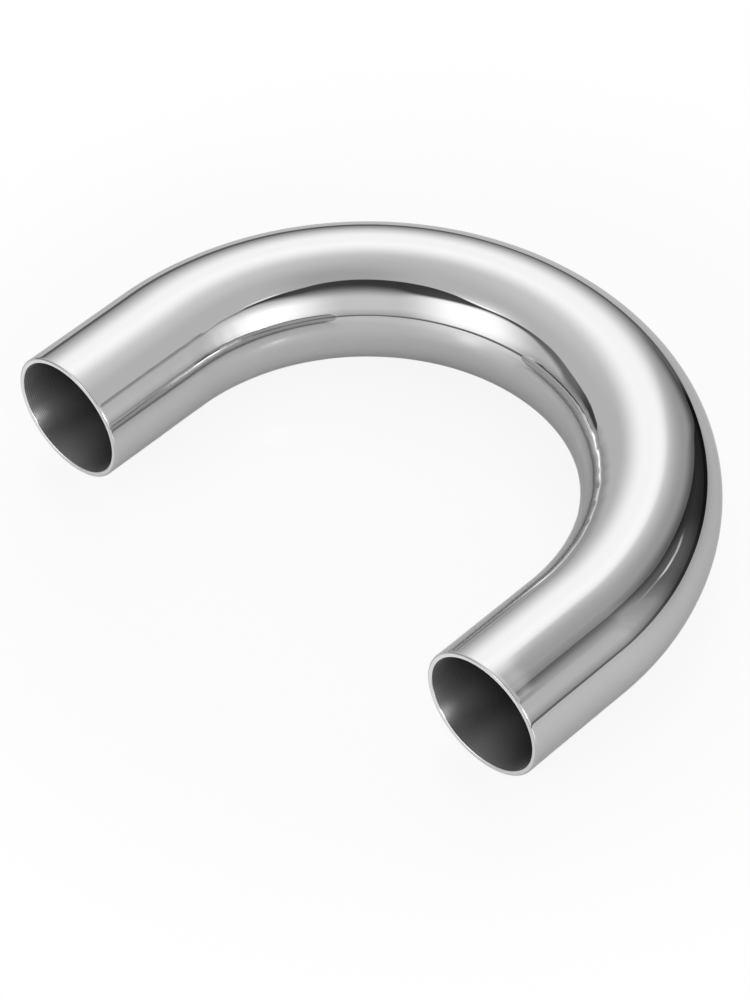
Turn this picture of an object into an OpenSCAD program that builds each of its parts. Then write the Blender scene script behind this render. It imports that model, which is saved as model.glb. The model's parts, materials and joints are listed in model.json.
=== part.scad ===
// Return bend: one length of polished stainless tube, bent back on itself through half a turn,
// with a straight leg left at each end for welding or clamping to the next pipe.
// The bend lies flat on z = 0. The legs run along -Y, side by side, and their mouths face -Y.

/* [Tube] */
// Outside diameter of the tube
tube_od = 38.1; // [20:0.1:60]
// Thickness of the tube wall
wall = 1.5; // [1:0.1:3]

/* [Bend] */
// Radius of the bend, to the middle of the tube
bend_radius = 77.5; // [50:0.5:150]

/* [Legs] */
// Length of the straight leg at each end of the bend
leg_length = 36.5; // [10:0.5:150]

/* [Mouths] */
// Radius of the edge that polishing leaves round the outside of each mouth
outer_edge = 0.5; // [0.1:0.05:0.6]
// Radius of the deburred edge round the inside of each mouth
inner_edge = 0.3; // [0.05:0.05:0.35]

/* [Hidden] */
$fn = 128;
tube_r = tube_od / 2;
bore_r = tube_r - wall;
turn_angle = 180;
// The middle of the bend lies where the whole part is centred front to back
bend_centre_y = (leg_length - bend_radius - tube_r) / 2;

// The tube's wall cut straight across
module wall_section() {
    difference() {
        circle(r = tube_r);
        circle(r = bore_r);
    }
}

// What easing to a radius takes off a square corner that points along +X +Y
module corner_waste(edge) {
    translate([-edge, -edge])
        difference() {
            square(2 * edge);
            circle(r = edge);
        }
}

// Half of a leg cut lengthwise, from the bend at y = 0 to the mouth, with both edges of the mouth eased
module leg_profile() {
    difference() {
        translate([bore_r, 0])
            square([wall, leg_length]);
        translate([tube_r, leg_length])
            corner_waste(outer_edge);
        translate([bore_r, leg_length])
            mirror([1, 0])
                corner_waste(inner_edge);
    }
}

// The half turn of tube, from the +X leg round to the -X leg
module turn() {
    rotate_extrude(angle = turn_angle)
        translate([bend_radius, 0])
            wall_section();
}

// A straight leg, running along -Y from the end of the bend
module leg() {
    rotate([90, 0, 0])
        rotate_extrude()
            leg_profile();
}

module bent_tube() {
    color("silver")
        translate([0, bend_centre_y, tube_r]) {
            turn();
            for (side = [-1, 1])
                translate([side * bend_radius, 0, 0])
                    leg();
        }
}

bent_tube();
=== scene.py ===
import json
import math

import bpy
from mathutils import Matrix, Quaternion, Vector


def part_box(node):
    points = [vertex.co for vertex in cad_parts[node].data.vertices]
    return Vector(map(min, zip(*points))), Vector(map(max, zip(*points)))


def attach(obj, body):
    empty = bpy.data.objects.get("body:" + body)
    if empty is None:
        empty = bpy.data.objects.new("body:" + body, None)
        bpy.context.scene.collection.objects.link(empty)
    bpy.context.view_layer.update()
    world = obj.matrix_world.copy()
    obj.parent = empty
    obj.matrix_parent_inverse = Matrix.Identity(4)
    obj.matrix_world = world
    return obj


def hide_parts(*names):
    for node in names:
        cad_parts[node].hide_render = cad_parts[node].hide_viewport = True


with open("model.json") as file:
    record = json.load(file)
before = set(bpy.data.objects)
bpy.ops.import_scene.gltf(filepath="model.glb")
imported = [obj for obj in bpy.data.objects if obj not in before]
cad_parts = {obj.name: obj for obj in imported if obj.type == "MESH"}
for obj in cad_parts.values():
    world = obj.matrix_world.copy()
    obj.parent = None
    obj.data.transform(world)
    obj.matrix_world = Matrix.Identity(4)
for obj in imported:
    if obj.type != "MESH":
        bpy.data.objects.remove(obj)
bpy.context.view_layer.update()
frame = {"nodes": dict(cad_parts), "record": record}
print("frame loaded:", ", ".join(sorted(frame["nodes"])))


def linearColor(hexCode):
    parts = [int(hexCode[i:i + 2], 16) / 255 for i in (1, 3, 5)]
    return [p / 12.92 if p <= 0.04045 else ((p + 0.055) / 1.055) ** 2.4 for p in parts] + [1.0]


# adds one node: links holds its inputs, either a value or the output that feeds it
def addNode(tree, kind, links=None, **settings):
    node = tree.nodes.new(kind)
    for name, value in settings.items():
        setattr(node, name, value)
    for socket, value in (links or {}).items():
        if isinstance(value, bpy.types.NodeSocket):
            tree.links.new(value, node.inputs[socket])
        else:
            node.inputs[socket].default_value = value
    return node


def startMaterial(name):
    material = bpy.data.materials.new(name)
    material.use_nodes = True
    return material, material.node_tree, material.node_tree.nodes["Principled BSDF"]


# sizes of the tube in metres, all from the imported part
mounts = {mount["name"]: mount for mount in frame["record"]["mounts"]}
tubeLow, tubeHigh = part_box("bent_tube")
tubeRadius = mounts["right_spigot"]["dims"]["r_mm"] / 1000
boreRadius = mounts["right_bore"]["dims"]["r_mm"] / 1000
bendRadius = mounts["right_spigot"]["pos_m"][0]
bendCentreY = tubeHigh.y - bendRadius - tubeRadius
legLength = bendCentreY - tubeLow.y

bentTube = {
    "Tube Radius": tubeRadius,
    "Bore Radius": boreRadius,
    "Bend Radius": bendRadius,
    "Leg Length": legLength,
    "Outer Edge": legLength - mounts["right_spigot"]["dims"]["length_mm"] / 1000,
    "Inner Edge": legLength - mounts["right_bore"]["dims"]["length_mm"] / 1000,
    "Sides": 128,
    "Outer Rings": 420,
    "Bore Rings": 180,
    "Bend Steps": 240,  # points on each quarter of the bend before it is resampled
    "Edge Steps": 7,
    "Wave Height": 0.00006,  # how far polishing by hand leaves the wall out of true
    "Wave Length": 0.032,
    "Ripple Height": 0.00012,  # wrinkles that bending leaves on the inside of the turn
    "Ripple Length": 0.006,
    "Ripple Place": legLength + math.radians(142) * bendRadius,  # how far along the tube they are worst
    "Ripple Reach": 0.055,
    "Ripple Share": 1.0,
    "Leg Ripple Place": 0.9 * legLength,  # and again, fainter, where the first leg goes into the bend
    "Leg Ripple Reach": 0.045,
    "Leg Ripple Share": 0.5,
    "Ripple From": 0.35,  # they start this far towards the inside, in tube radii
    "Ripple Full": 0.75,  # and are at their full height from here
    "True Mouth": 0.002,  # the wall is true this close to a mouth
    "Wave Start": 0.012,  # and as wavy as elsewhere from here
    "Seam": 0.000003,  # points this close are made one
}
waveStretch = (1.0, 1.0, 1.0)
rippleStretch = (1.0, 0.35, 0.35)  # wrinkles run further round the tube than along it
finishes = {"polished": 0, "honed": 1, "filed": 2}  # numbers that the tube's faces carry

buffing = {
    "color": "#D0D0D0",
    "edgeTint": "#E4E4E4",
    "dragLength": 0.025,  # the smears that a buffing wheel leaves
    "dragWidth": 0.001667,
    "drag": (0.3, 0.75),  # noise where there is no smear, and where it is full
    "roughness": (0.02, 0.045),
}


def polishedFinish():
    # 304 stainless tube, mirror buffed: a neutral grey mirror that shows the studio sharply,
    # a little blurred where the buffing wheel has dragged
    material, tree, shader = startMaterial("mirrorPolishedStainless")
    shader.inputs["Base Color"].default_value = linearColor(buffing["color"])
    shader.inputs["Specular Tint"].default_value = linearColor(buffing["edgeTint"])
    shader.inputs["Metallic"].default_value = 1.0
    along = addNode(tree, "ShaderNodeAttribute", attribute_name="straightTube")
    pace = (1 / buffing["dragLength"], 1 / buffing["dragWidth"], 1 / buffing["dragWidth"])
    drag = addNode(tree, "ShaderNodeMapping", {"Vector": along.outputs["Vector"], "Scale": pace})
    marks = addNode(tree, "ShaderNodeTexNoise", {"Vector": drag.outputs[0], "Scale": 1.0, "Detail": 3.0})
    blur = addNode(tree, "ShaderNodeMapRange", {
        "Value": marks.outputs["Fac"], "From Min": buffing["drag"][0], "From Max": buffing["drag"][1],
        "To Min": buffing["roughness"][0], "To Max": buffing["roughness"][1]})
    tree.links.new(blur.outputs[0], shader.inputs["Roughness"])
    return material


filingAndPaintedHighlight = {
    # painted highlight: a lighter colour than the steel itself, so that the cut end shows bright
    "color": "#F4F4F4",
    "markWidth": 0.001111,
    "roughness": (0.12, 0.22),
}


def cutFinish():
    # the saw-cut end of the tube, freshly filed, with a soft blur; its colour is set lighter than the
    # polished wall as a painted highlight
    material, tree, shader = startMaterial("filedStainlessEndPaintedHighlight")
    shader.inputs["Base Color"].default_value = linearColor(filingAndPaintedHighlight["color"])
    shader.inputs["Metallic"].default_value = 1.0
    place = addNode(tree, "ShaderNodeTexCoord")
    marks = addNode(tree, "ShaderNodeTexNoise", {
        "Vector": place.outputs["Object"], "Scale": 1 / filingAndPaintedHighlight["markWidth"], "Detail": 2.0})
    blur = addNode(tree, "ShaderNodeMapRange", {
        "Value": marks.outputs["Fac"],
        "To Min": filingAndPaintedHighlight["roughness"][0], "To Max": filingAndPaintedHighlight["roughness"][1]})
    tree.links.new(blur.outputs[0], shader.inputs["Roughness"])
    return material


# the real hone marks are about 0.1 mm apart; these are drawn coarser, so that they show
hone = {
    "spacing": 0.00065,
    "stretch": (1, 0.1, 0.1),  # the marks wander little on their way round
    "wander": 9.0,
    "patch": 0.009,  # the hone bit harder in patches about this wide
    "bite": (0.4, 0.62),  # noise where there is no bite, and where it is full
    "idle": 0.4,  # how marked the wall is between them
    "tone": ("#989898", "#C4C4C4"),
    # painted shade: the colour the bore wall is darkened to, deep behind the mouth
    "paintedShadeTone": "#5A5A5A",
    "paintedShadeFrom": 0.001,  # the base colour is darkened from here to there behind the mouth, painted shade deep in the bore
    "paintedShadeAt": 0.02,
    "roughness": (0.42, 0.46),
    "drawnOut": 0.9,  # how far highlights are drawn out along the tube
    "lean": 0.06,
}


def boreFinish():
    # the inside of the tube, brushed round by a rotating hone: dull and dark, with fine rings that draw
    # each highlight out along the tube, and painted shade that darkens it further in
    material, tree, shader = startMaterial("honedStainlessBore")
    shader.inputs["Metallic"].default_value = 1.0
    shader.inputs["Anisotropic"].default_value = hone["drawnOut"]
    lengthwise = addNode(tree, "ShaderNodeAttribute", attribute_name="lengthwise")
    tree.links.new(lengthwise.outputs["Vector"], shader.inputs["Tangent"])
    along = addNode(tree, "ShaderNodeAttribute", attribute_name="straightTube")
    laid = addNode(tree, "ShaderNodeMapping", {
        "Vector": along.outputs["Vector"], "Scale": hone["stretch"]})
    # at a scale of 1 a wave texture repeats every pi / 10
    rings = addNode(tree, "ShaderNodeTexWave", {
        "Vector": laid.outputs[0], "Scale": math.pi / 10 / hone["spacing"],
        "Distortion": hone["wander"], "Detail": 3.0, "Detail Scale": 0.4}, bands_direction="X")
    patches = addNode(tree, "ShaderNodeTexNoise", {
        "Vector": along.outputs["Vector"], "Scale": 1 / hone["patch"], "Detail": 2.0})
    bite = addNode(tree, "ShaderNodeMapRange", {
        "Value": patches.outputs["Fac"], "From Min": hone["bite"][0], "From Max": hone["bite"][1]})
    marks = addNode(tree, "ShaderNodeMix", {
        "Factor": bite.outputs[0], "A": hone["idle"], "B": rings.outputs["Fac"]},
        data_type="FLOAT").outputs[0]
    tone = addNode(tree, "ShaderNodeMix", {
        "Factor": marks, "A": linearColor(hone["tone"][0]), "B": linearColor(hone["tone"][1])},
        data_type="RGBA")
    # both mouths face -Y, and further in the wall's colour is painted darker, as shade deep in the bore
    spot = addNode(tree, "ShaderNodeTexCoord")
    place = addNode(tree, "ShaderNodeSeparateXYZ", {0: spot.outputs["Object"]})
    paintedShade = addNode(tree, "ShaderNodeMapRange", {
        "Value": place.outputs["Y"], "From Min": tubeLow.y + hone["paintedShadeAt"],
        "From Max": tubeLow.y + hone["paintedShadeFrom"]})
    tone = addNode(tree, "ShaderNodeMix", {
        "Factor": paintedShade.outputs[0], "A": linearColor(hone["paintedShadeTone"]), "B": tone.outputs["Result"]},
        data_type="RGBA")
    tree.links.new(tone.outputs["Result"], shader.inputs["Base Color"])
    blur = addNode(tree, "ShaderNodeMapRange", {
        "Value": marks, "To Min": hone["roughness"][0], "To Max": hone["roughness"][1]})
    tree.links.new(blur.outputs[0], shader.inputs["Roughness"])
    # the sides of each mark lean the surface a little to and fro along the tube
    lean = addNode(tree, "ShaderNodeMapRange", {
        "Value": marks, "To Min": -hone["lean"], "To Max": hone["lean"]})
    leaning = addNode(tree, "ShaderNodeVectorMath", {
        0: lengthwise.outputs["Vector"], "Scale": lean.outputs[0]}, operation="SCALE")
    wallNormal = addNode(tree, "ShaderNodeNewGeometry")
    tilted = addNode(tree, "ShaderNodeVectorMath", {
        0: wallNormal.outputs["Normal"], 1: leaning.outputs[0]}, operation="ADD")
    tilted = addNode(tree, "ShaderNodeVectorMath", {0: tilted.outputs[0]}, operation="NORMALIZE")
    tree.links.new(tilted.outputs[0], shader.inputs["Normal"])
    return material


# an open line through four corners, for a fillet to round
def openLine(tree, corners):
    points = {}
    for i, (x, y) in enumerate(corners):
        points[f"Point {i + 1}"] = addNode(tree, "ShaderNodeCombineXYZ", {"X": x, "Y": y}).outputs[0]
    ring = addNode(tree, "GeometryNodeCurvePrimitiveQuadrilateral", points, mode="POINTS")
    opened = addNode(tree, "GeometryNodeSetSplineCyclic", {"Geometry": ring.outputs[0], "Cyclic": False})
    return opened.outputs[0]


def buildTubeTree(polished, cut, bore):
    tree = bpy.data.node_groups.new("bentTube", "GeometryNodeTree")
    for name, value in bentTube.items():
        kind = "NodeSocketInt" if isinstance(value, int) else "NodeSocketFloat"
        tree.interface.new_socket(name, in_out="INPUT", socket_type=kind)
    tree.interface.new_socket("Geometry", in_out="OUTPUT", socket_type="NodeSocketGeometry")
    size = addNode(tree, "NodeGroupInput").outputs
    minusRadius = addNode(tree, "ShaderNodeMath", {
        0: size["Bend Radius"], 1: -1.0}, operation="MULTIPLY").outputs[0]
    minusLeg = addNode(tree, "ShaderNodeMath", {
        0: size["Leg Length"], 1: -1.0}, operation="MULTIPLY").outputs[0]
    wall = addNode(tree, "ShaderNodeMath", {
        0: size["Tube Radius"], 1: size["Bore Radius"]}, operation="SUBTRACT").outputs[0]

    # the middle line of the tube: a square-cornered U whose corners are then rounded into the bend
    squareU = openLine(tree, [
        (minusRadius, minusLeg), (minusRadius, size["Bend Radius"]),
        (size["Bend Radius"], size["Bend Radius"]), (size["Bend Radius"], minusLeg)])
    middle = addNode(tree, "GeometryNodeFilletCurve", {
        "Curve": squareU, "Count": size["Bend Steps"], "Radius": size["Bend Radius"]}, mode="POLY")
    ends = addNode(tree, "GeometryNodeCurveEndpointSelection")

    # the two walls stop short of the mouths by the edge that closes them there
    walls = []
    wallKinds = [("Tube Radius", "Outer Edge", "Outer Rings", finishes["polished"]),
                 ("Bore Radius", "Inner Edge", "Bore Rings", finishes["honed"])]
    for radius, edge, rings, finish in wallKinds:
        back = addNode(tree, "ShaderNodeCombineXYZ", {"Y": size[edge]})
        short = addNode(tree, "GeometryNodeSetPosition", {
            "Geometry": middle.outputs[0], "Selection": ends.outputs[0], "Offset": back.outputs[0]})
        even = addNode(tree, "GeometryNodeResampleCurve", {
            "Curve": short.outputs[0], "Count": size[rings]})
        circle = addNode(tree, "GeometryNodeCurvePrimitiveCircle", {
            "Resolution": size["Sides"], "Radius": size[radius]})
        swept = addNode(tree, "GeometryNodeCurveToMesh", {
            "Curve": even.outputs[0], "Profile Curve": circle.outputs[0]})
        kind = addNode(tree, "GeometryNodeStoreNamedAttribute", {
            "Geometry": swept.outputs[0], "Name": "finish", "Value": finish},
            data_type="INT", domain="FACE")
        walls.append(kind.outputs[0])

    # where each point lay on the straight tube before it was bent: along it, towards the inside, down
    place = addNode(tree, "GeometryNodeInputPosition")
    spot = addNode(tree, "ShaderNodeSeparateXYZ", {0: place.outputs[0]}).outputs
    minusX = addNode(tree, "ShaderNodeMath", {0: spot["X"], 1: -1.0}, operation="MULTIPLY").outputs[0]
    bendY = addNode(tree, "ShaderNodeMath", {0: spot["Y"], 1: 0.0}, operation="MAXIMUM").outputs[0]
    legY = addNode(tree, "ShaderNodeMath", {0: spot["Y"], 1: 0.0}, operation="MINIMUM").outputs[0]
    turned = addNode(tree, "ShaderNodeMath", {0: bendY, 1: minusX}, operation="ARCTAN2").outputs[0]
    bendAlong = addNode(tree, "ShaderNodeMath", {
        0: turned, 1: size["Bend Radius"], 2: size["Leg Length"]}, operation="MULTIPLY_ADD").outputs[0]
    whichLeg = addNode(tree, "ShaderNodeMath", {0: minusX}, operation="SIGN").outputs[0]
    along = addNode(tree, "ShaderNodeMath", {
        0: legY, 1: whichLeg, 2: bendAlong}, operation="MULTIPLY_ADD").outputs[0]
    flat = addNode(tree, "ShaderNodeCombineXYZ", {"X": spot["X"], "Y": bendY})
    out = addNode(tree, "ShaderNodeVectorMath", {0: flat.outputs[0]}, operation="LENGTH")
    inside = addNode(tree, "ShaderNodeMath", {
        0: size["Bend Radius"], 1: out.outputs["Value"]}, operation="SUBTRACT").outputs[0]
    down = addNode(tree, "ShaderNodeMath", {0: spot["Z"], 1: -1.0}, operation="MULTIPLY").outputs[0]
    straight = addNode(tree, "ShaderNodeCombineXYZ", {"X": along, "Y": inside, "Z": down}).outputs[0]
    heading = addNode(tree, "ShaderNodeCombineXYZ", {"X": bendY, "Y": minusX})
    lengthwise = addNode(tree, "ShaderNodeVectorMath", {
        0: heading.outputs[0]}, operation="NORMALIZE").outputs[0]

    # the outer wall is a little out of true: long waves from polishing, short wrinkles inside the turn
    heights = {}
    for name, stretch in (("Wave", waveStretch), ("Ripple", rippleStretch)):
        pace = addNode(tree, "ShaderNodeMath", {0: 1.0, 1: size[name + " Length"]}, operation="DIVIDE")
        laid = addNode(tree, "ShaderNodeVectorMath", {0: straight, 1: stretch}, operation="MULTIPLY")
        noise = addNode(tree, "ShaderNodeTexNoise", {
            "Vector": laid.outputs[0], "Scale": pace.outputs[0], "Detail": 1.0})
        height = addNode(tree, "ShaderNodeMapRange", {
            "Value": noise.outputs["Fac"], "To Min": -1.0, "To Max": 1.0})
        heights[name] = addNode(tree, "ShaderNodeMath", {
            0: height.outputs[0], 1: size[name + " Height"]}, operation="MULTIPLY").outputs[0]
    squeezed = addNode(tree, "ShaderNodeMath", {0: inside, 1: size["Tube Radius"]}, operation="DIVIDE")
    squeezed = addNode(tree, "ShaderNodeMapRange", {
        "Value": squeezed.outputs[0], "From Min": size["Ripple From"], "From Max": size["Ripple Full"]},
        interpolation_type="SMOOTHSTEP")
    near = 0.0
    for zone in ("Ripple", "Leg Ripple"):
        away = addNode(tree, "ShaderNodeMath", {
            0: along, 1: size[zone + " Place"]}, operation="SUBTRACT")
        away = addNode(tree, "ShaderNodeMath", {0: away.outputs[0]}, operation="ABSOLUTE")
        share = addNode(tree, "ShaderNodeMapRange", {
            "Value": away.outputs[0], "From Max": size[zone + " Reach"], "To Min": size[zone + " Share"],
            "To Max": 0.0}, interpolation_type="SMOOTHSTEP")
        near = addNode(tree, "ShaderNodeMath", {
            0: share.outputs[0], 1: near}, operation="MAXIMUM").outputs[0]
    wrinkled = addNode(tree, "ShaderNodeMath", {0: squeezed.outputs[0], 1: near}, operation="MULTIPLY")
    drift = addNode(tree, "ShaderNodeMath", {
        0: heights["Ripple"], 1: wrinkled.outputs[0], 2: heights["Wave"]},
        operation="MULTIPLY_ADD").outputs[0]
    # none of it reaches the mouths, which are cut true
    fromMouth = addNode(tree, "ShaderNodeMath", {0: spot["Y"], 1: size["Leg Length"]}, operation="ADD")
    fade = addNode(tree, "ShaderNodeMapRange", {
        "Value": fromMouth.outputs[0], "From Min": size["True Mouth"], "From Max": size["Wave Start"]},
        interpolation_type="SMOOTHSTEP")
    drift = addNode(tree, "ShaderNodeMath", {0: drift, 1: fade.outputs[0]}, operation="MULTIPLY")
    outward = addNode(tree, "GeometryNodeInputNormal")
    push = addNode(tree, "ShaderNodeVectorMath", {
        0: outward.outputs[0], "Scale": drift.outputs[0]}, operation="SCALE")
    outerWall = addNode(tree, "GeometryNodeSetPosition", {
        "Geometry": walls[0], "Offset": push.outputs[0]}).outputs[0]
    boreWall = addNode(tree, "GeometryNodeFlipFaces", {"Mesh": walls[1]}).outputs[0]

    # the lip of a mouth: a square-cornered channel, eased by the two edges, swept round the tube
    minusWall = addNode(tree, "ShaderNodeMath", {0: wall, 1: -1.0}, operation="MULTIPLY").outputs[0]
    minusOuter = addNode(tree, "ShaderNodeMath", {
        0: size["Outer Edge"], 1: -1.0}, operation="MULTIPLY").outputs[0]
    minusInner = addNode(tree, "ShaderNodeMath", {
        0: size["Inner Edge"], 1: -1.0}, operation="MULTIPLY").outputs[0]
    channel = openLine(tree, [
        (0.0, minusOuter), (0.0, 0.0), (minusWall, 0.0), (minusWall, minusInner)])
    index = addNode(tree, "GeometryNodeInputIndex")
    isOuter = addNode(tree, "FunctionNodeCompare", {
        "A": index.outputs[0], "B": 1}, data_type="INT", operation="EQUAL")
    edge = addNode(tree, "GeometryNodeSwitch", {
        "Switch": isOuter.outputs[0], "False": size["Inner Edge"], "True": size["Outer Edge"]},
        input_type="FLOAT")
    lipSection = addNode(tree, "GeometryNodeFilletCurve", {
        "Curve": channel, "Count": size["Edge Steps"], "Radius": edge.outputs[0]}, mode="POLY")
    mouth = addNode(tree, "GeometryNodeCurvePrimitiveCircle", {
        "Resolution": size["Sides"], "Radius": size["Tube Radius"]})
    lipLine = addNode(tree, "GeometryNodeCaptureAttribute", {"Geometry": lipSection.outputs[0]})
    lipLine.capture_items.new("VECTOR", "across")
    place = addNode(tree, "GeometryNodeInputPosition")
    tree.links.new(place.outputs[0], lipLine.inputs["across"])
    lip = addNode(tree, "GeometryNodeCurveToMesh", {
        "Curve": mouth.outputs[0], "Profile Curve": lipLine.outputs["Geometry"]})
    # the eased outer edge is polished with the wall, and the rest of the lip is the bare cut
    inward = addNode(tree, "ShaderNodeSeparateXYZ", {0: lipLine.outputs["across"]})
    isCut = addNode(tree, "FunctionNodeCompare", {
        "A": inward.outputs["X"], "B": minusOuter}, operation="LESS_THAN")
    lipFinish = addNode(tree, "GeometryNodeSwitch", {
        "Switch": isCut.outputs[0], "False": finishes["polished"], "True": finishes["filed"]},
        input_type="INT")
    lipKind = addNode(tree, "GeometryNodeStoreNamedAttribute", {
        "Geometry": lip.outputs[0], "Name": "finish", "Value": lipFinish.outputs[0]},
        data_type="INT", domain="FACE")
    facing = addNode(tree, "GeometryNodeTransform", {
        "Geometry": lipKind.outputs[0], "Rotation": (math.radians(-90), 0, 0)})
    lips = addNode(tree, "GeometryNodeInstanceOnPoints", {
        "Points": middle.outputs[0], "Selection": ends.outputs[0], "Instance": facing.outputs[0]})

    # join, close the seams and lay the tube on the floor
    joined = addNode(tree, "GeometryNodeJoinGeometry")
    for part in (outerWall, boreWall, lips.outputs[0]):
        tree.links.new(part, joined.inputs[0])
    real = addNode(tree, "GeometryNodeRealizeInstances", {"Geometry": joined.outputs[0]})
    closed = addNode(tree, "GeometryNodeMergeByDistance", {
        "Geometry": real.outputs[0], "Distance": size["Seam"]})
    marked = addNode(tree, "GeometryNodeStoreNamedAttribute", {
        "Geometry": closed.outputs[0], "Name": "straightTube", "Value": straight},
        data_type="FLOAT_VECTOR")
    headed = addNode(tree, "GeometryNodeStoreNamedAttribute", {
        "Geometry": marked.outputs[0], "Name": "lengthwise", "Value": lengthwise},
        data_type="FLOAT_VECTOR")
    smooth = addNode(tree, "GeometryNodeSetShadeSmooth", {"Geometry": headed.outputs[0]})
    lift = addNode(tree, "ShaderNodeCombineXYZ", {"Y": bendCentreY, "Z": size["Tube Radius"]})
    laid = addNode(tree, "GeometryNodeTransform", {
        "Geometry": smooth.outputs[0], "Translation": lift.outputs[0]})
    last = addNode(tree, "GeometryNodeSetMaterial", {
        "Geometry": laid.outputs[0], "Material": polished}).outputs[0]
    kindOf = addNode(tree, "GeometryNodeInputNamedAttribute", {"Name": "finish"}, data_type="INT")
    for number, material in ((finishes["honed"], bore), (finishes["filed"], cut)):
        chosen = addNode(tree, "FunctionNodeCompare", {
            "A": kindOf.outputs[0], "B": number}, data_type="INT", operation="EQUAL")
        last = addNode(tree, "GeometryNodeSetMaterial", {
            "Geometry": last, "Selection": chosen.outputs[0], "Material": material}).outputs[0]
    addNode(tree, "NodeGroupOutput", {0: last})
    return tree


def makeTube():
    tree = buildTubeTree(polishedFinish(), cutFinish(), boreFinish())
    maker = bpy.data.objects.new("tubeMaker", bpy.data.meshes.new("tubeMaker"))
    bpy.context.scene.collection.objects.link(maker)
    modifier = maker.modifiers.new("bend", "NODES")
    modifier.node_group = tree
    for item in tree.interface.items_tree:
        if item.in_out == "INPUT":
            modifier[item.identifier] = bentTube[item.name]
    evaluated = maker.evaluated_get(bpy.context.evaluated_depsgraph_get())
    mesh = bpy.data.meshes.new_from_object(evaluated)
    mesh.name = "polishedReturnBend"
    mesh.materials.pop(index=0)  # the empty slot that the tree starts from
    bpy.data.objects.remove(maker)
    piece = bpy.data.objects.new("polishedReturnBend", mesh)
    bpy.context.scene.collection.objects.link(piece)
    return piece


tube = makeTube()
print("tube made:", len(tube.data.vertices), "points,", len(tube.data.polygons), "faces")
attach(tube, "root")
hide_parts("bent_tube")

# a small white table, which ends soon enough for the tube to mirror the gap beyond its edge
table = {
    "turn": 77,  # degrees
    "far": 0.28,
    "near": -0.36,
    "left": 0.28,
    "right": -0.40,
    "color": "#F2F2F2",
    "roughness": 0.2,
    "seenGlow": (0.88, 1.0),  # near the tube, and clear of it
    "clearFrom": 0.1,
    "clearAt": 0.2,
    "mirroredGlow": 0.1,
}


def makeTable():
    mesh = bpy.data.meshes.new("whiteTable")
    turn = math.radians(table["turn"])
    corners = [(table["near"], table["left"]), (table["near"], table["right"]),
               (table["far"], table["right"]), (table["far"], table["left"])]
    points = []
    for out, side in corners:
        x = out * math.cos(turn) - side * math.sin(turn)
        y = out * math.sin(turn) + side * math.cos(turn)
        points.append((x, y, 0.0))
    mesh.from_pydata(points, [], [(0, 1, 2, 3)])
    board = bpy.data.objects.new("whiteTable", mesh)
    bpy.context.scene.collection.objects.link(board)
    # satin white laminate: pale, with a soft sheen of the lamps and of the tube at a low angle
    material, tree, shader = startMaterial("satinWhiteLaminate")
    shader.inputs["Base Color"].default_value = linearColor(table["color"])
    shader.inputs["Roughness"].default_value = table["roughness"]
    # lifted to white for the lens, all the way once clear of the tube, and less far for what steel and
    # glass show, with the shadow kept
    path = addNode(tree, "ShaderNodeLightPath")
    spot = addNode(tree, "ShaderNodeTexCoord")
    away = addNode(tree, "ShaderNodeVectorMath", {0: spot.outputs["Object"]}, operation="LENGTH")
    seen = addNode(tree, "ShaderNodeMapRange", {
        "Value": away.outputs["Value"], "From Min": table["clearFrom"], "From Max": table["clearAt"],
        "To Min": table["seenGlow"][0], "To Max": table["seenGlow"][1]}, interpolation_type="SMOOTHSTEP")
    mirrored = addNode(tree, "ShaderNodeMath", {
        0: path.outputs["Is Glossy Ray"], 1: path.outputs["Is Transmission Ray"]}, operation="MAXIMUM")
    mirrored = addNode(tree, "ShaderNodeMath", {
        0: mirrored.outputs[0], 1: table["mirroredGlow"]}, operation="MULTIPLY")
    glow = addNode(tree, "ShaderNodeMath", {
        0: path.outputs["Is Camera Ray"], 1: seen.outputs[0], 2: mirrored.outputs[0]},
        operation="MULTIPLY_ADD")
    white = addNode(tree, "ShaderNodeEmission", {"Color": linearColor("#FFFFFF"), "Strength": 1.0})
    lifted = addNode(tree, "ShaderNodeMixShader", {
        0: glow.outputs[0], 1: shader.outputs[0], 2: white.outputs[0]})
    tree.links.new(lifted.outputs[0], tree.nodes["Material Output"].inputs["Surface"])
    mesh.materials.append(material)
    return board


makeTable()
print("table made")

# a white light tent: lamps shine through its cloth, a slit for the lens runs round the near side
# and it stands open at the far right. angles are in degrees: turn from +X towards +Y, and rise above
# the table
tent = {
    "cloth": 0.69,
    "low": (-2, 14),  # the cloth gets dimmer from the second rise down to the first
    "lowShare": 0.6,
    "room": 0.17,
    "roomRise": (-1.6, 0.6),  # where the table's edge gives way to the room
    # turn, rise, glow fades from, to, strength; the fourth is a dull patch
    "lamps": [(132, 41, 8, 38, 0.74), (178, 60, 0, 32, 0.18), (100, 64, 4, 30, 0.2),
              (-35, 66, 5, 25, -0.14), (-4, 20, 4, 9.5, 15), (-97, 20, 3, 10, 2)],
    # turn, glow fades from, to, strength, fades upwards from, to
    "cards": [(-4, 3, 36, 1.02, 25, 43), (-97, 5, 36, 0.98, 30, 56), (-50, 5, 45, 0.16, 26, 43)],
    "edgeBlur": 0.6,
    "easeReach": 11,  # how far below its top edge the open side goes on getting lighter
    "shadeReach": 18,  # how far above it the shade goes on fading
    "shadeDepth": (0.78, 0.33),
    "streakWidth": 2.2,
    "hemWidth": 1.6,
}
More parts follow.
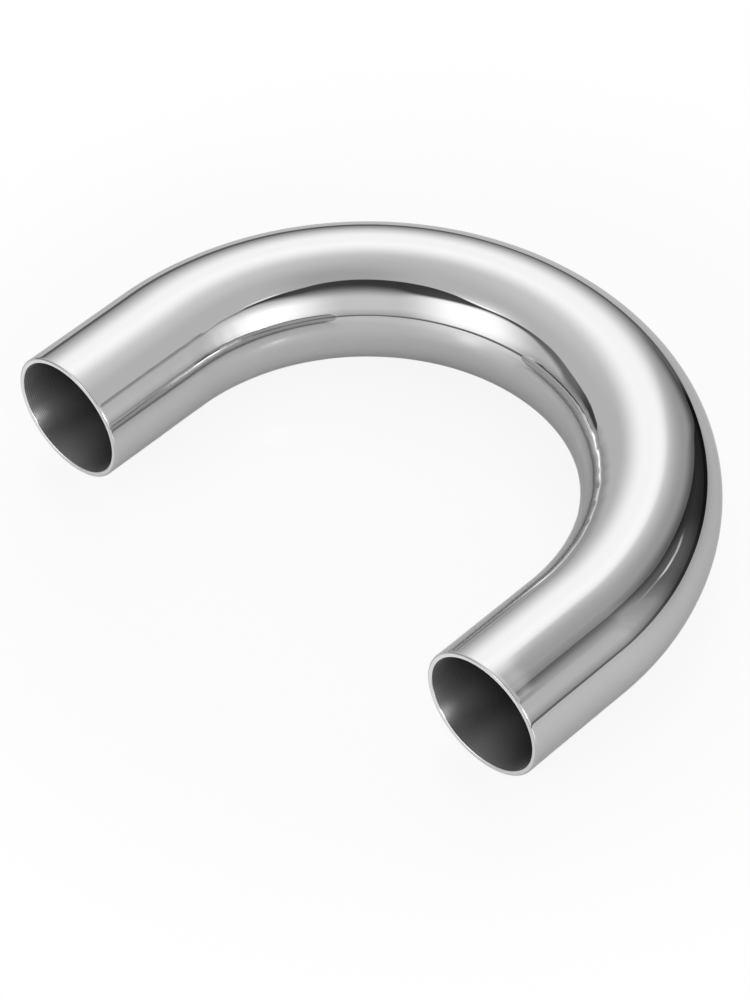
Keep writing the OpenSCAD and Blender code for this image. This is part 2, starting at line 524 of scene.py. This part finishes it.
# lines round the tent: the span of a line's values, then its points as turn and value
tentLines = {
    "slitTop": ((0, 90), [
        (-180, 0), (-175, 3), (-165, 12), (-150, 20), (-135, 32), (-120, 38), (-105, 41.5), (-90, 51),
        (-75, 56.5), (-60, 59), (-45, 60), (-30, 58.5), (-15, 53.5), (0, 48), (8, 44.8), (15, 41.2),
        (22.6, 37.8), (30, 33.5), (33, 34.5), (34.6, 33.8), (35.6, 34.4), (37.3, 37), (39, 40),
        (40.3, 41.7), (42, 43.9), (43.5, 45), (45, 44.4), (48, 43.7), (51, 42.1), (54, 40), (57, 37.4),
        (60, 34.5), (64, 32), (68, 29.7), (72, 26.8), (78, 21.5), (90, 9.5), (97, 0), (180, 0)]),
    "slitFoot": ((0, 90), [
        (-180, 0), (-175, 0), (-165, 4.5), (-150, 6), (-142, 14), (-135, 22), (-120, 34), (-105, 37.5),
        (-90, 38), (-75, 38.5), (-60, 40), (-45, 41.5), (-30, 41.5), (-15, 42), (0, 43), (8, 41.6),
        (15, 38.2), (22.6, 35), (30, 30.5), (33, 29.8), (180, 30)]),
    "slitFade": ((0, 15), [
        (-180, 2), (-165, 2), (-150, 6), (-135, 5), (-120, 2), (-90, 2), (-75, 3), (-60, 10),
        (-45, 11), (-30, 10), (-15, 5), (0, 3), (8, 2), (24, 2), (40, 3), (180, 3)]),
    "slitDepth": ((0, 1), [
        (-180, 0), (-175, 0.4), (-165, 0.9), (-150, 0.7), (-135, 0.72), (-120, 0.92), (-105, 0.95),
        (-90, 0.92), (-60, 0.91), (-15, 0.88), (0, 0.94), (6, 0.94), (12, 0.66), (16, 0.5), (30, 0.42),
        (33, 0.48), (35, 0.12), (37, 0), (180, 0)]),
    "sideDepth": ((0, 1), [
        (-180, 0), (32, 0), (34, 0.1), (36, 0.3), (39, 0.55), (42, 0.74), (45, 0.78), (48, 0.78),
        (51, 0.82), (54, 0.86), (60, 0.9), (68, 0.94), (72, 0.955), (97, 0.955), (104, 0), (180, 0)]),
    "sideEase": ((0, 1), [
        (-180, 0), (33, 0), (36, 0.18), (39, 0.3), (42, 0.42), (45, 0.38), (48, 0.2), (51, 0.13),
        (54, 0.1), (60, 0.12), (68, 0.07), (74, 0.02), (180, 0)]),
    "sideShade": ((0, 1), [
        (-180, 0), (41, 0), (44.5, 0.62), (48, 0.6), (51, 0.64), (54, 0.76), (57, 0.84), (60, 0.93),
        (64, 0.97), (68, 1), (98, 1), (110, 0.4), (124, 0), (180, 0)]),
    "shadeTop": ((0, 90), [
        (-180, 50), (40, 43.5), (44, 46), (46, 47.6), (48, 49.2), (54, 53.2), (62, 56.6), (70, 59),
        (78, 60.4), (86, 60.9), (94, 60.7), (102, 60), (110, 58.6), (118, 56), (180, 50)]),
    "streakRise": ((0, 90), [
        (-180, 30), (45, 29), (48, 27.5), (51, 25.8), (54, 23.6), (57, 21.2), (60, 19.9), (64, 18.6),
        (72, 19), (180, 30)]),
    "streakGlow": ((0, 1), [
        (-180, 0), (43, 0), (48, 0.16), (54, 0.24), (57, 0.9), (60, 0.65), (64, 0.6), (67, 0.15),
        (70, 0), (180, 0)]),
    "hemGlow": ((0, 1), [
        (-180, 0), (-124, 0), (-114, 0.25), (-104, 0.5), (-98, 0.3), (-92, 0), (-8, 0), (-3, 0.3),
        (4, 0.7), (9, 0.5), (13, 0.15), (17, 0), (180, 0)]),
}


def makeTent():
    world = bpy.data.worlds.new("lightTent")
    bpy.context.scene.world = world
    world.use_nodes = True
    tree = world.node_tree
    tree.nodes.clear()
    way = addNode(tree, "ShaderNodeTexCoord").outputs["Generated"]
    parts = addNode(tree, "ShaderNodeSeparateXYZ", {0: way})
    turn = addNode(tree, "ShaderNodeMath", {
        0: parts.outputs["Y"], 1: parts.outputs["X"]}, operation="ARCTAN2")
    turn = addNode(tree, "ShaderNodeMath", {0: turn.outputs[0]}, operation="DEGREES").outputs[0]
    rise = addNode(tree, "ShaderNodeMath", {0: parts.outputs["Z"]}, operation="ARCSINE")
    rise = addNode(tree, "ShaderNodeMath", {0: rise.outputs[0]}, operation="DEGREES").outputs[0]

    # plain cloth, a little dimmer low down
    light = addNode(tree, "ShaderNodeMapRange", {
        "Value": rise, "From Min": tent["low"][0], "From Max": tent["low"][1],
        "To Min": tent["lowShare"] * tent["cloth"], "To Max": tent["cloth"]},
        interpolation_type="SMOOTHSTEP").outputs[0]
    for lampTurn, lampRise, near, far, strength in tent["lamps"]:
        out = math.cos(math.radians(lampRise))
        aim = (out * math.cos(math.radians(lampTurn)), out * math.sin(math.radians(lampTurn)),
               math.sin(math.radians(lampRise)))
        facing = addNode(tree, "ShaderNodeVectorMath", {0: way, 1: aim}, operation="DOT_PRODUCT")
        apart = addNode(tree, "ShaderNodeMath", {0: facing.outputs["Value"]}, operation="ARCCOSINE")
        spot = addNode(tree, "ShaderNodeMapRange", {
            "Value": apart.outputs[0], "From Min": math.radians(near), "From Max": math.radians(far),
            "To Min": 1.0, "To Max": 0.0}, interpolation_type="SMOOTHSTEP")
        light = addNode(tree, "ShaderNodeMath", {
            0: spot.outputs[0], 1: strength, 2: light}, operation="MULTIPLY_ADD").outputs[0]
    for cardTurn, near, far, strength, lowest, highest in tent["cards"]:
        low = addNode(tree, "ShaderNodeMapRange", {
            "Value": rise, "From Min": lowest, "From Max": highest, "To Min": 1.0, "To Max": 0.0},
            interpolation_type="SMOOTHSTEP")
        apart = addNode(tree, "ShaderNodeMath", {0: turn, 1: cardTurn}, operation="SUBTRACT")
        apart = addNode(tree, "ShaderNodeMath", {0: apart.outputs[0]}, operation="ABSOLUTE")
        spot = addNode(tree, "ShaderNodeMapRange", {
            "Value": apart.outputs[0], "From Min": near, "From Max": far,
            "To Min": strength, "To Max": 0.0}, interpolation_type="SMOOTHSTEP")
        light = addNode(tree, "ShaderNodeMath", {
            0: spot.outputs[0], 1: low.outputs[0], 2: light}, operation="MULTIPLY_ADD").outputs[0]

    # below the table's edge the room is dim
    under = addNode(tree, "ShaderNodeMapRange", {
        "Value": rise, "From Min": tent["roomRise"][0], "From Max": tent["roomRise"][1],
        "To Min": 1.0, "To Max": 0.0}, interpolation_type="SMOOTHSTEP")
    light = addNode(tree, "ShaderNodeMix", {
        "Factor": under.outputs[0], "A": light, "B": tent["room"]}, data_type="FLOAT").outputs[0]

    # each line is a curve over the turn; it runs between 0 and 1 and is then spread out
    turn01 = addNode(tree, "ShaderNodeMapRange", {"Value": turn, "From Min": -180.0, "From Max": 180.0})
    lines = {}
    for name, ((low, high), dotsGiven) in tentLines.items():
        curve = addNode(tree, "ShaderNodeFloatCurve", {"Value": turn01.outputs[0]})
        dots = curve.mapping.curves[0].points
        given = [((at + 180) / 360, (value - low) / (high - low)) for at, value in dotsGiven]
        dots[0].location = given[0]
        dots[-1].location = given[-1]
        for dot in given[1:-1]:
            dots.new(*dot)
        for dot in dots:
            dot.handle_type = "AUTO_CLAMPED"
        curve.mapping.update()
        lines[name] = addNode(tree, "ShaderNodeMapRange", {
            "Value": curve.outputs[0], "To Min": low, "To Max": high}, clamp=False).outputs[0]
    overFoot = addNode(tree, "ShaderNodeMath", {0: rise, 1: lines["slitFoot"]}, operation="SUBTRACT")
    overFoot = addNode(tree, "ShaderNodeMath", {
        0: overFoot.outputs[0], 1: lines["slitFade"]}, operation="DIVIDE")
    overTop = addNode(tree, "ShaderNodeMath", {
        0: rise, 1: lines["slitTop"]}, operation="SUBTRACT").outputs[0]
    foot = addNode(tree, "ShaderNodeMapRange", {
        "Value": overFoot.outputs[0], "From Min": -1.0, "From Max": 1.0},
        interpolation_type="SMOOTHSTEP")
    top = addNode(tree, "ShaderNodeMapRange", {
        "Value": overTop, "From Min": tent["edgeBlur"], "From Max": -tent["edgeBlur"]},
        interpolation_type="SMOOTHSTEP")
    gap = addNode(tree, "ShaderNodeMath", {0: foot.outputs[0], 1: top.outputs[0]}, operation="MULTIPLY")
    gap = addNode(tree, "ShaderNodeMath", {
        0: gap.outputs[0], 1: lines["slitDepth"]}, operation="MULTIPLY")
    # the side is darkest just under its top edge, and its shade creeps up the cloth above
    ease = addNode(tree, "ShaderNodeMapRange", {
        "Value": overTop, "From Min": 0.0, "From Max": -tent["easeReach"]},
        interpolation_type="SMOOTHSTEP")
    ease = addNode(tree, "ShaderNodeMath", {
        0: ease.outputs[0], 1: lines["sideEase"]}, operation="MULTIPLY")
    side = addNode(tree, "ShaderNodeMath", {
        0: lines["sideDepth"], 1: ease.outputs[0]}, operation="SUBTRACT")
    side = addNode(tree, "ShaderNodeMath", {0: side.outputs[0], 1: top.outputs[0]}, operation="MULTIPLY")
    shade = addNode(tree, "ShaderNodeMapRange", {
        "Value": overTop, "From Min": 0.0, "From Max": tent["shadeReach"],
        "To Min": tent["shadeDepth"][0], "To Max": tent["shadeDepth"][1]},
        interpolation_type="SMOOTHSTEP")
    overShade = addNode(tree, "ShaderNodeMath", {0: rise, 1: lines["shadeTop"]}, operation="SUBTRACT")
    shaded = addNode(tree, "ShaderNodeMapRange", {
        "Value": overShade.outputs[0], "From Min": tent["edgeBlur"], "From Max": -tent["edgeBlur"]},
        interpolation_type="SMOOTHSTEP")
    above = addNode(tree, "ShaderNodeMath", {
        0: shaded.outputs[0], 1: top.outputs[0]}, operation="SUBTRACT", use_clamp=True)
    shade = addNode(tree, "ShaderNodeMath", {
        0: shade.outputs[0], 1: lines["sideShade"]}, operation="MULTIPLY")
    shade = addNode(tree, "ShaderNodeMath", {
        0: shade.outputs[0], 1: above.outputs[0]}, operation="MULTIPLY")
    for dark in (gap, side, shade):
        left = addNode(tree, "ShaderNodeMath", {0: 1.0, 1: dark.outputs[0]}, operation="SUBTRACT")
        light = addNode(tree, "ShaderNodeMath", {
            0: light, 1: left.outputs[0]}, operation="MULTIPLY").outputs[0]

    # a thin bright edge hangs in the open side, and the hem above the slit catches the light in places
    hemRise = addNode(tree, "ShaderNodeMath", {
        0: lines["slitTop"], 1: tent["hemWidth"]}, operation="ADD").outputs[0]
    for edgeRise, glow, width in ((lines["streakRise"], lines["streakGlow"], tent["streakWidth"]),
                                  (hemRise, lines["hemGlow"], tent["hemWidth"])):
        apart = addNode(tree, "ShaderNodeMath", {0: rise, 1: edgeRise}, operation="SUBTRACT")
        apart = addNode(tree, "ShaderNodeMath", {0: apart.outputs[0]}, operation="ABSOLUTE")
        edge = addNode(tree, "ShaderNodeMapRange", {
            "Value": apart.outputs[0], "From Max": width, "To Min": 1.0, "To Max": 0.0},
            interpolation_type="SMOOTHSTEP")
        light = addNode(tree, "ShaderNodeMath", {
            0: edge.outputs[0], 1: glow, 2: light}, operation="MULTIPLY_ADD").outputs[0]

    # the lens sees plain white; steel and glass see the white cloth with its lamps and openings
    studio = addNode(tree, "ShaderNodeBackground", {"Color": linearColor("#FFFFFF"), "Strength": light})
    white = addNode(tree, "ShaderNodeBackground", {"Color": linearColor("#FFFFFF"), "Strength": 1.0})
    path = addNode(tree, "ShaderNodeLightPath")
    shown = addNode(tree, "ShaderNodeMixShader", {
        0: path.outputs["Is Camera Ray"], 1: studio.outputs[0], 2: white.outputs[0]})
    addNode(tree, "ShaderNodeOutputWorld", {"Surface": shown.outputs[0]})


makeTent()
print("light tent made")

# where the photograph was taken from, in metres, and the lens in pixels of its 1000 px long side
photo = {
    "stand": (0.5459, -0.5750, 0.8343),
    "aim": (0.0053, -0.0309, 0.0191),
    "rollDegrees": -1.134,
    "focalPixels": 4168.6,
    "longSide": 1000,
    "sensorWidth": 36.0,  # millimetres
    "clip": (0.01, 20.0),
}


def makeCamera():
    data = bpy.data.cameras.new("camera")
    data.sensor_fit = "AUTO"
    data.sensor_width = photo["sensorWidth"]
    data.lens = photo["focalPixels"] / photo["longSide"] * data.sensor_width
    data.clip_start = photo["clip"][0]
    data.clip_end = photo["clip"][1]
    camera = bpy.data.objects.new("camera", data)
    bpy.context.scene.collection.objects.link(camera)
    look = Vector(photo["aim"]) - Vector(photo["stand"])
    roll = Quaternion((0, 0, 1), math.radians(photo["rollDegrees"]))
    camera.location = photo["stand"]
    camera.rotation_mode = "QUATERNION"
    camera.rotation_quaternion = look.to_track_quat("-Z", "Y") @ roll
    bpy.context.scene.camera = camera


makeCamera()
bpy.context.scene.view_settings.view_transform = "Standard"
print("camera set")
